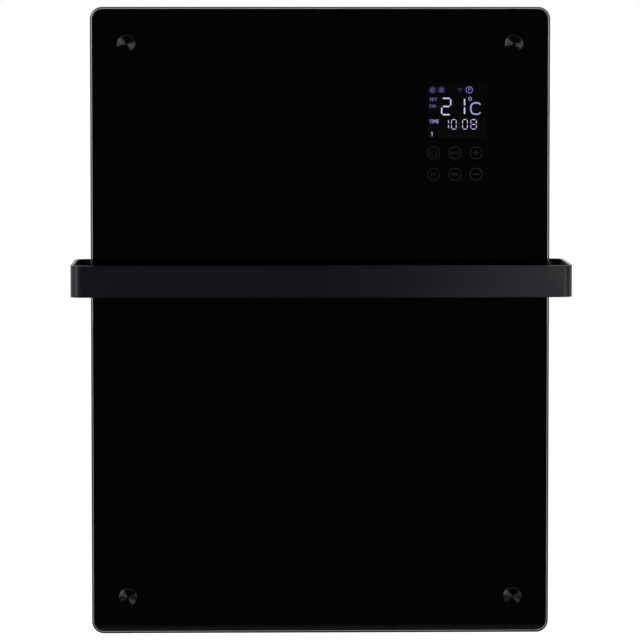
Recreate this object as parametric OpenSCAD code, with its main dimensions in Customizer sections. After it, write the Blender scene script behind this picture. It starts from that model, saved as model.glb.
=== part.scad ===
// Wall-hung convector heater with a glass front and a bent towel rail.
// +Z is up, +X is the viewer's right and the front faces -Y.
// The origin is the centre of the wall-screw pattern, on the wall's surface.

/* [Glass front] */
// Width of the glass
glass_w = 455; // [430:1:560]
// Height of the glass
glass_h = 623; // [600:1:760]
// Thickness of the glass
glass_t = 5; // [4:0.5:8]
// Corner radius of the glass
glass_r = 12; // [6:1:20]
// Polished chamfer round the front and rear edges of the glass
glass_edge = 1.5; // [0.5:0.1:1.9]
// Air gap between the case and the glass
glass_gap = 5; // [4:0.5:9]
// Thickness of the black enamel layer behind the glass
enamel_t = 0.3; // [0.2:0.05:0.5]

/* [Glass fixings] */
// Cap centre from the side edge of the glass
cap_inset_x = 36; // [32:0.5:50]
// Cap centre from the top and bottom edge of the glass
cap_inset_z = 36.5; // [32:0.5:60]
// Diameter of the turned caps
cap_d = 18; // [14:0.5:26]
// Height of the turned caps in front of their washers
cap_t = 4.6; // [4:0.1:8]
// Diameter of the threaded studs
stud_d = 6; // [5:0.5:8]
// Wall of the sleeve between stud and glass
bush_wall = 1.8; // [1:0.1:2.4]
// Outer diameter of the silicone rings behind the glass
ring_d = 22; // [18:0.5:26]

/* [Display] */
// Centre of the display window from the right edge of the glass
display_inset_x = 92.1; // [80:0.1:120]
// Centre of the display window from the top edge of the glass
display_inset_z = 102.3; // [95:0.1:140]
// Width of the display window
display_w = 59.4; // [40:0.1:62]
// Height of the display window
display_h = 55; // [40:0.1:60]
// Distance between neighbouring touch keys
key_pitch = 21.1; // [17:0.1:22]
// Upper row of keys below the centre of the display window
key_drop = 42.1; // [40:0.1:50]
// Diameter of the coil behind each key
key_spring_d = 8; // [6:0.5:9]

/* [Case] */
// Case edge from the edge of the glass, all round
case_inset = 20; // [16:1:26]
// Depth of the closed case
case_d = 38; // [36:1:60]
// Thickness of the case sheet
sheet_t = 1.2; // [0.8:0.1:1.6]
// Width of the flange that the back is screwed to
flange_w = 13; // [11:0.5:18]
// Corner radius of the case
case_r = 4; // [3:0.5:8]
// Outer radius of the bends round the front of the case
case_bend = 2; // [1.8:0.1:2.8]
// Distance from the wall to the back of the case
wall_gap = 15; // [14:0.5:25]

/* [Grilles] */
// Length of the opening in the top wall
outlet_w = 340; // [200:1:360]
// Depth of the opening in the top wall
outlet_d = 24; // [18:0.5:25]
// Number of slanted blades across the outlet
outlet_blades = 4; // [3:1:5]
// Slant of the blades
blade_tilt = 25; // [0:1:30]
// Length of the opening in the bottom wall
inlet_w = 250; // [150:1:270]
// Depth of the opening in the bottom wall
inlet_d = 24; // [18:0.5:25]
// Distance between the punched inlet slots
inlet_pitch = 8; // [7:0.5:14]

/* [Towel rail] */
// Width that the rail adds to the glass, its arms and side gaps together
rail_w = 35; // [30:1:150]
// Height of the strap
rail_h = 31; // [24:0.5:36]
// Thickness of the strap
rail_t = 3; // [2:0.25:5]
// Outer radius of its bends
rail_r = 12; // [8:0.5:18]
// Front face of the rail from the wall
rail_reach = 130; // [110:1:200]
// Centre of the rail above the centre of the glass
rail_z = 44; // [36:1:48]
// How far each end of the rail is turned in behind the case
rail_return = 52.5; // [47:0.5:57]
// Diameter of the rail's screws
rail_screw_d = 5; // [4:0.5:5]

/* [Wall bracket] */
// Distance between the wall screws, side to side
screw_pitch_x = 240; // [200:1:250]
// Distance between the wall screws, top to bottom
screw_pitch_z = 200; // [160:1:250]
// Diameter of the wall-screw holes
wall_hole_d = 6.5; // [4.5:0.5:8]
// Thickness of the bracket's sheet
bracket_t = 1.5; // [1.2:0.1:2.5]
// Overall width of the bracket
bracket_w = 282; // [272:1:290]
// Overall height of the bracket
bracket_h = 330; // [310:1:360]
// Width of the bracket's uprights and straps
bracket_bar = 36; // [32:1:44]
// Height of the upper hooks' seats above the centre
hook_top = 150; // [140:1:152]
// Height of the lower hooks' seats above the centre
hook_low = -110; // [-130:1:-100]
// Height of a hook's lip above its seat
hook_lip = 10; // [6:0.5:12]
// How far the heater lifts to come off the hooks
lift = 12; // [12:0.5:16]

/* [Heating element] */
// Length of the slotted wings
element_w = 340; // [240:1:344]
// Height of the element
element_h = 56; // [40:1:70]
// Depth of the element
element_d = 22; // [16:0.5:24]
// Height of the element's axis above the foot of the case
element_z = 101.5; // [91.5:1:111.5]
// Thickness of the wings
wing_t = 1.6; // [1.2:0.1:2.2]
// Number of slots along each wing
wing_slots = 20; // [8:1:22]
// Diameter of the sheathed rod
rod_d = 10; // [8:0.5:11]

/* [Power board] */
// Width of the circuit board
board_w = 92; // [92:1:110]
// Height of the circuit board
board_h = 72; // [72:1:84]
// Height of the pillars under the board
pillar_h = 6; // [5:0.5:8]

/* [Inner leads] */
// Diameter of the leads between the terminals
lead_d = 2.2; // [1.8:0.1:2.6]
// Diameter of the cable between the two boards
cable_d = 4; // [3:0.1:4.6]

/* [Mains switch] */
// Height of the switch's centre above the foot of the case
switch_z = 53.5; // [47.5:1:61.5]
// Length of the rocker
rocker_l = 20; // [16:0.5:22]
// Width of the rocker
rocker_w = 13; // [10:0.5:14]
// Angle of the rocker between on and off
rocker_swing = 16; // [10:1:20]

/* [Cable gland] */
// Place of the gland to the right of the centre
gland_x = 165; // [158:1:175]
// Diameter of the lead's way through the gland
gland_bore = 8; // [6:0.5:10]

/* [Fits] */
// Clearance round screws, studs and sleeves
fit_gap = 0.3; // [0.25:0.05:0.4]
// Clearance between pieces that move past each other
move_gap = 0.5; // [0.4:0.1:0.9]
// Radial clearance of the rocker's pins
pin_gap = 0.05; // [0.03:0.01:0.08]

/* [Hidden] */
$fn = 48;
through = 1; // how far a cutter runs past the wall that it cuts

// Planes from the wall forwards; the front is the most negative
back_y = -wall_gap;
flange_y = back_y - sheet_t;
inner_back_y = flange_y - sheet_t;
case_y = back_y - case_d;
inner_front_y = case_y + sheet_t;
glass_back_y = case_y - glass_gap;
glass_front_y = glass_back_y - glass_t;
enamel_gap = 0.1;
enamel_margin = 0.2;
enamel_in = glass_edge + enamel_margin;
enamel_back_y = glass_back_y + enamel_gap + enamel_t;
mid_y = (inner_front_y + inner_back_y) / 2;

case_w = glass_w - 2 * case_inset;
case_h = glass_h - 2 * case_inset;
cap_x = glass_w / 2 - cap_inset_x;
cap_z = glass_h / 2 - cap_inset_z;
bush_d = stud_d + 2 * (fit_gap + bush_wall);
glass_hole_d = bush_d + 2 * fit_gap;
washer_t = 0.4;
cap_back_y = glass_front_y - washer_t;
cap_front_y = cap_back_y - cap_t;
stud_tip_y = cap_back_y - cap_t * 0.65;
stud_collar_d = stud_d + 4;
stud_collar_t = 1;
nut_t = 4.5;
nut_d = stud_d * 1.9;

// Display and keys
display_x = glass_w / 2 - display_inset_x;
display_z = glass_h / 2 - display_inset_z;
key_off = 1.9; // the keys' middle column stands this far left of the display's centre
key_x = display_x - key_off;
key_z = display_z - key_drop;
display_rim = 1.5; // border of the display module beside its lit window
module_w = display_w + 2 * display_rim;
module_h = display_h + 2;
module_room = 2.3; // from the module to the housing's wall
key_room = 3; // from an outer spring to the housing's wall
housing_wall = 2;
housing_in = max(module_w / 2 + module_room, key_pitch + key_off + key_spring_d / 2 + key_room);
housing_w = 2 * (housing_in + housing_wall);
housing_top = display_z + display_h / 2 + 6;
housing_foot = key_z - key_pitch - 12;
housing_h = housing_top - housing_foot;
housing_z = (housing_top + housing_foot) / 2;
housing_front_y = enamel_back_y + fit_gap;
housing_lip = 3;
pcb_t = 1.6;
board_y = inner_front_y + 1.8;
// Height of the two rows of board screws: at the foot, and between the keys and the display
board_screw_z = [housing_foot + housing_wall + 3, key_z + key_pitch / 2 - 1.5];

// Rail
rail_back_y = rail_t - wall_gap;
rail_depth = rail_reach + rail_back_y;
rail_span = glass_w + rail_w;
rail_end_x = case_w / 2 - rail_return;
rail_head_d = rail_screw_d * 1.9;
rail_head_t = 2.7;
rail_nut_t = 4;
rail_nut_gap = 4.55; // free room between the outer nut and the flange of the case
rail_screw_x = [rail_end_x + 9,
                case_w / 2 - sheet_t - flange_w - rail_nut_gap - rail_head_d / 2];

// Hooks: each is a tab of the bracket's side flange, in a slot of the back
hook_x = bracket_w / 2 - bracket_t / 2;
weld_gap = 1; // from the end of a strap to the flange of its upright
hook_h = 9;
slot_w = 6;
slot_h = hook_h + lift + 3;
lip_y = flange_y - 1;
lip_t = 4;

// Screws of the case, in from the edge of the case
case_screw_in = 7;
case_screw_d = 3.5;
case_head_d = 7;
case_head_t = 2.4;
case_screw_z = [90, case_h / 2 - 40];
case_screw_x = 100;
grip = 4; // thread past the sheet that a screw bites in

// Grilles
grille_wall = 1.5;
grille_drop = 8;
grille_lip_x = 5;
grille_lip_y = 4;
blade_t = 1.2;
inlet_slot_w = 4;
inlet_t = 1.2;

// Power board
power_x = 52;
power_z = 28;
pillar_d = 6.5;
pillar_in = 5;
board_screw_d = 3;
power_back_y = flange_y - pillar_h;
power_front_y = power_back_y - pcb_t;

// Terminal block on the board's right side, with its leads' ways in from the right
terminal_x = power_x + 26;
terminal_z = power_z + 18;
terminal_w = 14;
terminal_h = 26;
terminal_t = 13;
terminal_in = 4; // leads in front of the board
terminal_pitch = 5;

// Element
element_y = mid_y;
element_axis_z = element_z - case_h / 2;
rod_core_d = rod_d - 2;
insulator_d = 16;
insulator_t = 8;
insulator_rim_t = 2;
insulator_x = element_w / 2 + 5;
rod_l = 2 * (insulator_x + insulator_t + 4);
strap_t = 1.2;
strap_web_x = insulator_x + insulator_t - insulator_rim_t - strap_t;
strap_foot = 12;
strap_screw_x = strap_web_x - strap_foot / 2;
strap_screw_rise = element_h / 2 - 7;
strap_screw_d = 3.5;
strap_head_d = 7;
strap_head_t = 2.2;
shield_t = 0.8;
shield_gap = 3;
shield_margin_x = 15;
shield_margin_z = 20;
vent_pitch = 18;
vent_w = 4;
vent_h = 18;
vent_z = element_axis_z - 62;

// Thermal cut-out on its bracket above the element, with the blades of its two tabs upwards
cutout_x = 60;
cutout_z = element_axis_z + element_h / 2 + 16;
cutout_y = power_front_y - terminal_in;
cutout_d = 16;
cutout_neck_d = 12;
cutout_h = 7;
cutout_strap_w = 26;
cutout_tab_x = 5;
cutout_tab_l = 7;
cutout_top_z = cutout_z + strap_t / 2 + cutout_h + cutout_tab_l;

// Sensor in the stream of air that comes in at the bottom
sensor_d = 5;
sensor_l = 22;
sensor_x = 105;
sensor_y = flange_y - 4.5;
sensor_foot_z = -case_h / 2 + sheet_t + 8;
clip_w = 10;
clip_h = 8;

// Earth terminal on the back
earth_x = 135;
earth_z = -case_h / 2 + 60;
earth_d = 4;

// Switch in the right side wall
switch_axis_z = switch_z - case_h / 2;
switch_body_l = rocker_l + 7;
switch_body_w = rocker_w + 7;
switch_depth = 16;
switch_lip = 2;
rocker_pin_d = 3;
rocker_axis_x = case_w / 2 - 1;

switch_rim = 2;
switch_room = 8;
tab_l = 9;
tab_w = 6;
tab_t = 0.8;
tab_pitch = 8;

// Inner leads: bend radius, the plane of their upper run, and the seat of their ends
lead_bend = 2.4;
lead_y = power_front_y - terminal_in;
lead_back_y = flange_y - 5.7;
lead_seat = 4;
tab_x = case_w / 2 - switch_depth - tab_l;

// Gland in the bottom wall: its dome stands out below, and its thread and nut lie inside
gland_d = 16;
gland_y = mid_y;
gland_out = 18;
gland_in = 10;
gland_nut_d = gland_d + 7;
gland_nut_t = 5;

// Rubber buffers at the foot of the back, which keep it off the wall
buffer_d = 18;
buffer_stem_d = 6;
buffer_head_d = 8;
buffer_head_t = 3;
buffer_in = 35.5; // in from the side of the case
buffer_up = 24; // up from the foot of the case
buffer_x = case_w / 2 - buffer_in;
buffer_z = case_h / 2 - buffer_up;

module rounded(w, h, r) {
    square([w - 2 * r, h], center = true);
    square([w, h - 2 * r], center = true);
    for (x = [-1, 1], y = [-1, 1])
        translate([x * (w / 2 - r), y * (h / 2 - r)]) circle(r = r);
}

// Turns a flat outline into a plate that stands between two Y planes
module stand(front_y, rear_y)
    translate([0, rear_y, 0]) rotate([90, 0, 0]) linear_extrude(rear_y - front_y) children();

module block(x, z, w, h, front_y, rear_y)
    translate([x - w / 2, front_y, z - h / 2]) cube([w, rear_y - front_y, h]);

module pin_y(d, x, z, front_y, rear_y)
    translate([x, rear_y, z]) rotate([90, 0, 0]) cylinder(d = d, h = rear_y - front_y);

module ring_y(d, bore, x, z, front_y, rear_y)
    difference() {
        pin_y(d, x, z, front_y, rear_y);
        pin_y(bore, x, z, front_y - through, rear_y + through);
    }

// Screw with its head in front of or behind the shank, along Y
module screw_y(d, head_d, head_t, x, z, seat_y, tip_y) {
    dir = tip_y > seat_y ? -1 : 1;
    pin_y(d, x, z, min(seat_y, tip_y), max(seat_y, tip_y));
    translate([x, seat_y + dir * head_t / 2, z]) rotate([90, 0, 0]) difference() {
        cylinder(d = head_d, h = head_t, center = true);
        translate([0, 0, -dir * head_t / 2])
            cylinder(d = d * 0.6, h = head_t * 1.1, center = true, $fn = 6);
    }
}

module at_caps()
    for (x = [-cap_x, cap_x], z = [-cap_z, cap_z]) translate([x, 0, z]) children();

module at_keys()
    for (col = [-1, 0, 1], row = [0, 1])
        translate([key_x + col * key_pitch, 0, key_z - row * key_pitch]) children();

module at_hooks()
    for (side = [-1, 1], seat = [hook_top, hook_low]) translate([side * hook_x, 0, seat]) children();

module at_rail_screws()
    for (side = [-1, 1], x = rail_screw_x) translate([side * x, 0, rail_z]) children();

module at_buffers()
    for (x = [-buffer_x, buffer_x]) translate([x, 0, -buffer_z]) children();

module at_case_screws() {
    for (side = [-1, 1], up = [-1, 1], z = case_screw_z)
        translate([side * (case_w / 2 - case_screw_in), 0, up * z]) children();
    for (side = [-1, 1], up = [-1, 1])
        translate([side * case_screw_x, 0, up * (case_h / 2 - case_screw_in)]) children();
}

// Section of a glass edge, chamfered front and rear, from one edge to the other
module edge_section(half, t, b)
    polygon([[-t, b - half], [-t, half - b], [b - t, half], [-b, half],
             [0, half - b], [0, b - half], [-b, -half], [b - t, -half]]);

module bevelled_plate(w, h, t, r, b) {
    translate([r - w / 2, 0, 0]) rotate([90, 0, 90])
        linear_extrude(w - 2 * r) edge_section(h / 2, t, b);
    translate([0, 0, r - h / 2])
        linear_extrude(h - 2 * r) rotate([0, 0, 90]) edge_section(w / 2, t, b);
    for (x = [-1, 1], z = [-1, 1])
        translate([x * (w / 2 - r), 0, z * (h / 2 - r)]) rotate([90, 0, 0]) rotate_extrude()
            polygon([[0, 0], [r - b, 0], [r, b], [r, t - b], [r - b, t], [0, t]]);
}

// Section of a pressed pan from one side to the other, with a bend along each front edge
module pan_section(half, d, bend) {
    translate([-d, bend - half]) square([d, 2 * (half - bend)]);
    translate([bend - d, -half]) square([d - bend, 2 * half]);
    for (side = [-1, 1]) translate([bend - d, side * (half - bend)]) circle(r = bend);
}

// Block with round corners, and with bends round its front
module pan(w, h, d, r, bend) {
    translate([r - w / 2, 0, 0]) rotate([90, 0, 90]) linear_extrude(w - 2 * r) pan_section(h / 2, d, bend);
    translate([0, 0, r - h / 2])
        linear_extrude(h - 2 * r) rotate([0, 0, 90]) pan_section(w / 2, d, bend);
    for (x = [-1, 1], z = [-1, 1])
        translate([x * (w / 2 - r), 0, z * (h / 2 - r)]) rotate([90, 0, 0]) rotate_extrude() {
            square([r - bend, d]);
            square([r, d - bend]);
            translate([r - bend, d - bend]) intersection() {
                circle(r = bend);
                square(bend);
            }
        }
}

// Two pressed uprights, each with two wall-screw holes and two hooks
module wall_bracket() {
    flange_l = wall_gap - bracket_t - move_gap;
    color("dimgray") {
        for (side = [-1, 1]) {
            difference() {
                stand(-bracket_t, 0) translate([side * (bracket_w - bracket_bar) / 2, 0])
                    rounded(bracket_bar, bracket_h, 3);
                for (z = [-1, 1])
                    pin_y(wall_hole_d, side * screw_pitch_x / 2, z * screw_pitch_z / 2,
                          -bracket_t - through, through);
            }
            // Side flange, folded forward along the outer edge
            translate([side * hook_x, 0, 0])
                block(0, 0, bracket_t, bracket_h - 6, -bracket_t - flange_l, -bracket_t);
            // Each hook runs through its slot and turns up behind the sheet
            for (seat = [hook_top, hook_low]) translate([side * hook_x, 0, seat]) {
                block(0, -fit_gap - hook_h / 2, bracket_t, hook_h,
                      lip_y - lip_t, -bracket_t - flange_l);
                block(0, -fit_gap + hook_lip / 2 - 1, bracket_t, hook_lip + 2, lip_y - lip_t, lip_y);
            }
        }
    }
}

// Straps across the uprights, spot-welded to their fronts
module bracket_straps()
    color("dimgray") for (side = [-1, 1])
        block(0, side * (bracket_h - bracket_bar) / 2, bracket_w - 2 * (bracket_t + weld_gap),
              bracket_bar, -2 * bracket_t, -bracket_t);

module rear_panel()
    color("black") difference() {
        stand(flange_y, back_y) rounded(case_w - 2, case_h - 2, case_r - 1);
        at_hooks() block(0, -slot_h / 2, slot_w, slot_h, flange_y - through, back_y + through);
        at_case_screws() pin_y(case_screw_d + 2 * fit_gap, 0, 0, flange_y - through, back_y + through);
        at_rail_screws() pin_y(rail_screw_d + 2 * fit_gap, 0, 0, flange_y - through, back_y + through);
        at_buffers() pin_y(buffer_stem_d + 2 * fit_gap, 0, 0, flange_y - through, back_y + through);
        // Punched vents below the element
        for (i = [-5:5])
            block(i * vent_pitch, vent_z, vent_w, vent_h, flange_y - through, back_y + through);
    }

module front_case() {
    in_w = case_w - 2 * sheet_t;
    in_h = case_h - 2 * sheet_t;
    color("#1c1c1e") difference() {
        translate([0, flange_y, 0]) pan(case_w, case_h, flange_y - case_y, case_r, case_bend);
        translate([0, inner_back_y, 0])
            pan(in_w, in_h, inner_back_y - inner_front_y, case_r - sheet_t, case_bend - sheet_t);
        stand(inner_back_y - through, flange_y + through)
            rounded(in_w - 2 * flange_w, in_h - 2 * flange_w, 2);
        at_caps() pin_y(stud_d + 2 * fit_gap, 0, 0, case_y - through, inner_front_y + through);
        at_case_screws()
            pin_y(case_screw_d + 2 * fit_gap, 0, 0, inner_back_y - through, flange_y + through);
        block(display_x, housing_z, housing_w + 2 * fit_gap, housing_h + 2 * fit_gap,
              case_y - through, inner_front_y + through);
        translate([-outlet_w / 2, mid_y - outlet_d / 2, case_h / 2 - sheet_t - through])
            cube([outlet_w, outlet_d, sheet_t + 2 * through]);
        translate([-inlet_w / 2, mid_y - inlet_d / 2, -case_h / 2 - through])
            cube([inlet_w, inlet_d, sheet_t + 2 * through]);
        translate([gland_x, gland_y, -case_h / 2 - through])
            cylinder(d = gland_d + 2 * fit_gap, h = sheet_t + 2 * through);
        translate([case_w / 2 - sheet_t - through, mid_y - switch_body_w / 2 - fit_gap,
                   switch_axis_z - switch_body_l / 2 - fit_gap])
            cube([sheet_t + 2 * through, switch_body_w + 2 * fit_gap, switch_body_l + 2 * fit_gap]);
    }
}

module case_screws()
    color("gray") at_case_screws()
        screw_y(case_screw_d, case_head_d, case_head_t, 0, 0, back_y, inner_back_y - grip);

// Long blades that lean forward on five cross ribs, in a frame that hangs in the top wall
module outlet_grille() {
    top_z = case_h / 2;
    w = outlet_w - 2 * fit_gap;
    d = outlet_d - 2 * fit_gap;
    inner_d = d - 2 * grille_wall;
    pitch = inner_d / (outlet_blades + 1);
    color("#2a2a2c") {
        difference() {
            union() {
                translate([-w / 2 - grille_lip_x, mid_y - d / 2 - grille_lip_y, top_z])
                    cube([w + 2 * grille_lip_x, d + 2 * grille_lip_y, grille_wall]);
                translate([-w / 2, mid_y - d / 2, top_z - grille_drop])
                    cube([w, d, grille_drop + grille_wall]);
            }
            translate([-w / 2 + grille_wall, mid_y - inner_d / 2, top_z - grille_drop - through])
                cube([w - 2 * grille_wall, inner_d, grille_drop + grille_wall + 2 * through]);
        }
        intersection() {
            translate([-w / 2 + grille_wall, mid_y - inner_d / 2, top_z - grille_drop])
                cube([w - 2 * grille_wall, inner_d, grille_drop + grille_wall]);
            union() {
                for (i = [1:outlet_blades])
                    translate([0, mid_y - inner_d / 2 + i * pitch, top_z + (grille_wall - grille_drop) / 2])
                        rotate([blade_tilt, 0, 0]) cube([w, blade_t, 4 * grille_drop], center = true);
                for (i = [-2:2])
                    translate([i * w / 5 - grille_wall / 2, mid_y - d / 2, top_z - grille_drop])
                        cube([grille_wall, d, grille_drop - 2]);
            }
        }
    }
}

// Punched plate under the bottom wall, with two rows of slots
module inlet_grille() {
    count = floor((inlet_w / 2 - 6) / inlet_pitch);
    foot_z = -case_h / 2 - inlet_t;
    slot_l = inlet_d / 2 - 2;
    color("#2a2a2c") difference() {
        translate([-inlet_w / 2 - grille_lip_x, mid_y - inlet_d / 2 - grille_lip_y, foot_z])
            cube([inlet_w + 2 * grille_lip_x, inlet_d + 2 * grille_lip_y, inlet_t]);
        for (i = [-count:count], row = [-1, 1])
            translate([i * inlet_pitch - inlet_slot_w / 2, mid_y + row * inlet_d / 4 - slot_l / 2,
                       foot_z - through])
                cube([inlet_slot_w, slot_l, inlet_t + 2 * through]);
    }
}

module wall_buffers()
    color("#202020") at_buffers() {
        pin_y(buffer_d, 0, 0, back_y, 0);
        pin_y(buffer_stem_d, 0, 0, flange_y - fit_gap, back_y);
        pin_y(buffer_head_d, 0, 0, flange_y - fit_gap - buffer_head_t, flange_y - fit_gap);
    }

// Gland with a domed outer nut; the lead's way runs right through it
module cable_gland() {
    thread_r = gland_d / 2;
    color("#181818") translate([gland_x, gland_y, -case_h / 2]) difference() {
        rotate_extrude()
            polygon([[0, -gland_out], [thread_r - 2.5, -gland_out], [thread_r + 1, 4 - gland_out],
                     [thread_r + 2.5, 8 - gland_out], [thread_r + 2.5, 0], [thread_r, 0],
                     [thread_r, gland_in], [0, gland_in]]);
        translate([0, 0, -gland_out - through])
            cylinder(d = gland_bore, h = gland_out + gland_in + 2 * through);
    }
}

module gland_nut()
    color("#181818") translate([gland_x, gland_y, -case_h / 2 + sheet_t]) difference() {
        cylinder(d = gland_nut_d, h = gland_nut_t, $fn = 6);
        translate([0, 0, -through]) cylinder(d = gland_d + 2 * fit_gap, h = gland_nut_t + 2 * through);
    }

module glass_panel()
    color("#0c0e10", 0.5) difference() {
        translate([0, glass_back_y, 0]) bevelled_plate(glass_w, glass_h, glass_t, glass_r, glass_edge);
        at_caps() pin_y(glass_hole_d, 0, 0, glass_front_y - through, glass_back_y + through);
    }

module glass_enamel()
    color("black") difference() {
        stand(enamel_back_y - enamel_t, enamel_back_y)
            rounded(glass_w - 2 * enamel_in, glass_h - 2 * enamel_in, glass_r - enamel_in);
        at_caps() pin_y(glass_hole_d + 2, 0, 0, glass_back_y - through, enamel_back_y + through);
        translate([display_x, 0, display_z]) stand(glass_back_y - through, enamel_back_y + through)
            rounded(display_w, display_h, 3);
    }

module glass_studs()
    color("silver") at_caps() {
        pin_y(stud_d, 0, 0, stud_tip_y, inner_front_y + nut_t + 2.5);
        pin_y(stud_collar_d, 0, 0, case_y - stud_collar_t, case_y);
    }

module stud_nuts()
    color("silver") at_caps() difference() {
        translate([0, inner_front_y + nut_t, 0]) rotate([90, 0, 0]) cylinder(d = nut_d, h = nut_t, $fn = 6);
        pin_y(stud_d + 2 * fit_gap, 0, 0, inner_front_y - through, inner_front_y + nut_t + through);
    }

module standoff_rings()
    color("#303030") at_caps() difference() {
        pin_y(ring_d, 0, 0, enamel_back_y, case_y);
        pin_y(stud_d + 2 * fit_gap, 0, 0, enamel_back_y - through, case_y + through);
        // Room for the stud's collar
        pin_y(stud_collar_d + 2 * fit_gap, 0, 0, case_y - stud_collar_t - fit_gap, case_y + through);
    }

module glass_bushes()
    color("ivory") at_caps()
        ring_y(bush_d, stud_d + 2 * fit_gap, 0, 0, glass_front_y + 0.1, enamel_back_y);

module cap_washers()
    color("#181818") at_caps()
        ring_y(cap_d - 1, stud_d + 2 * fit_gap, 0, 0, cap_back_y, glass_front_y);

// Turned cap: straight side, chamfered rim, flat face, blind hole for the stud
module glass_caps()
    color("#3a3a3c") at_caps() translate([0, cap_back_y, 0]) rotate([90, 0, 0]) difference() {
        rotate_extrude()
            polygon([[0, 0], [cap_d / 2, 0], [cap_d / 2, cap_t - 0.8], [cap_d / 2 - 0.8, cap_t],
                     [0, cap_t]]);
        translate([0, 0, -through]) cylinder(d = stud_d + 2 * fit_gap, h = cap_t * 0.7 + through);
    }

module towel_rail()
    color("#202024") difference() {
        translate([0, 0, rail_z - rail_h / 2]) linear_extrude(rail_h) difference() {
            translate([0, (rail_back_y - rail_reach) / 2]) rounded(rail_span, rail_depth, rail_r);
            translate([0, (rail_back_y - rail_reach) / 2])
                rounded(rail_span - 2 * rail_t, rail_depth - 2 * rail_t, rail_r - rail_t);
            translate([-rail_end_x, rail_back_y - rail_t - through])
                square([2 * rail_end_x, rail_t + 2 * through]);
        }
        at_rail_screws() pin_y(rail_screw_d + 2 * fit_gap, 0, 0, back_y - through, rail_back_y + through);
    }

module rail_screws()
    color("gray") at_rail_screws()
        screw_y(rail_screw_d, rail_head_d, rail_head_t, 0, 0, rail_back_y, flange_y - rail_nut_t - 2);

module rail_nuts()
    color("silver") at_rail_screws() difference() {
        translate([0, flange_y, 0]) rotate([90, 0, 0]) cylinder(d = rail_head_d, h = rail_nut_t, $fn = 6);
        pin_y(rail_screw_d + 2 * fit_gap, 0, 0, flange_y - rail_nut_t - through, flange_y + through);
    }

// Moulded frame: a tray behind the glass, a lip on the case and four posts for the board
module display_housing() {
    in_w = housing_w - 2 * housing_wall;
    in_h = housing_h - 2 * housing_wall;
    front_t = 1.5;
    color("#151515") translate([display_x, 0, 0]) {
        difference() {
            union() {
                block(0, housing_z, housing_w, housing_h, housing_front_y, board_y + pcb_t + 2);
                block(0, housing_z, housing_w + 2 * housing_lip, housing_h + 2 * housing_lip,
                      case_y - 1.5, case_y);
            }
            block(0, housing_z, in_w, in_h, housing_front_y + front_t, board_y + pcb_t + 3);
            block(0, display_z, module_w + 2, module_h + 2, housing_front_y - through,
                  housing_front_y + front_t + through);
            translate([-display_x, 0, 0]) at_keys()
                pin_y(key_spring_d + 2, 0, 0, housing_front_y - through, housing_front_y + front_t + through);
        }
        for (x = [-1, 1], z = board_screw_z)
            ring_y(6, 2.8, x * (in_w / 2 - 3), z, housing_front_y + front_t, board_y);
    }
}

module display_module()
    color("#15171c") block(display_x, display_z, module_w, module_h,
                           enamel_back_y, board_y);

module display_board()
    color("darkgreen") difference() {
        block(display_x, housing_z, housing_w - 2 * housing_wall - 2 * fit_gap,
              housing_h - 2 * housing_wall - 2 * fit_gap, board_y, board_y + pcb_t);
        for (x = [-1, 1], z = board_screw_z)
            pin_y(2.8, display_x + x * (housing_w / 2 - housing_wall - 3), z,
                  board_y - through, board_y + pcb_t + through);
    }

module touch_springs()
    color("goldenrod") at_keys() {
        ring_y(key_spring_d, key_spring_d - 1.6, 0, 0, enamel_back_y, board_y);
        pin_y(key_spring_d - 1.6, 0, 0, enamel_back_y, enamel_back_y + 0.8);
    }

module display_screws()
    color("silver") for (x = [-1, 1], z = board_screw_z)
        screw_y(2.2, 4.4, 1.4, display_x + x * (housing_w / 2 - housing_wall - 3), z,
                board_y + pcb_t, board_y - 4);

module wireless_module()
    color("silver") {
        block(display_x + 10, housing_top - 24, 18, 25, board_y + pcb_t, board_y + pcb_t + 1);
        block(display_x + 10, housing_top - 28, 15, 15, board_y + pcb_t + 1, board_y + pcb_t + 3);
    }

module at_pillars()
    for (x = [-1, 1], z = [-1, 1])
        translate([power_x + x * (board_w / 2 - pillar_in), 0, power_z + z * (board_h / 2 - pillar_in)])
            children();

module power_board()
    color("darkgreen") difference() {
        block(power_x, power_z, board_w, board_h, power_front_y, power_back_y);
        at_pillars() pin_y(board_screw_d + 2 * fit_gap, 0, 0, power_front_y - through, power_back_y + through);
    }

module board_pillars()
    color("gold") at_pillars()
        ring_y(pillar_d, board_screw_d + 2 * fit_gap, 0, 0, power_back_y, flange_y);

module board_screws()
    color("silver") at_pillars()
        screw_y(board_screw_d, board_screw_d * 1.85, 1.8, 0, 0, power_front_y, power_back_y + grip);

module relay()
    color("navy") block(power_x - 28, power_z + 16, 19, 16, power_front_y - 15.5, power_front_y);

module transformer()
    color("#d8c840") {
        block(power_x - 24, power_z - 12, 30, 24, power_front_y - 4, power_front_y);
        block(power_x - 24, power_z - 12, 26, 20, power_front_y - 17, power_front_y - 4);
    }

module capacitor()
    color("#202840") for (dx = [6, 20])
        pin_y(12, power_x + dx, power_z - 14, power_front_y - 16, power_front_y);

module fuse()
    color("ivory") block(power_x, power_z + 14, 22, 7, power_front_y - 8, power_front_y);

module terminal_block()
    color("forestgreen") difference() {
        block(terminal_x, terminal_z, terminal_w, terminal_h, power_front_y - terminal_t, power_front_y);
        for (i = [-2:2]) {
            pin_y(3, terminal_x, terminal_z + i * terminal_pitch,
                  power_front_y - terminal_t - through, power_front_y - 8);
            block(terminal_x + terminal_w / 2, terminal_z + i * terminal_pitch, 2 * lead_seat,
                  terminal_pitch - 1.6, lead_y - 2, lead_y + 2);
        }
    }

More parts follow.
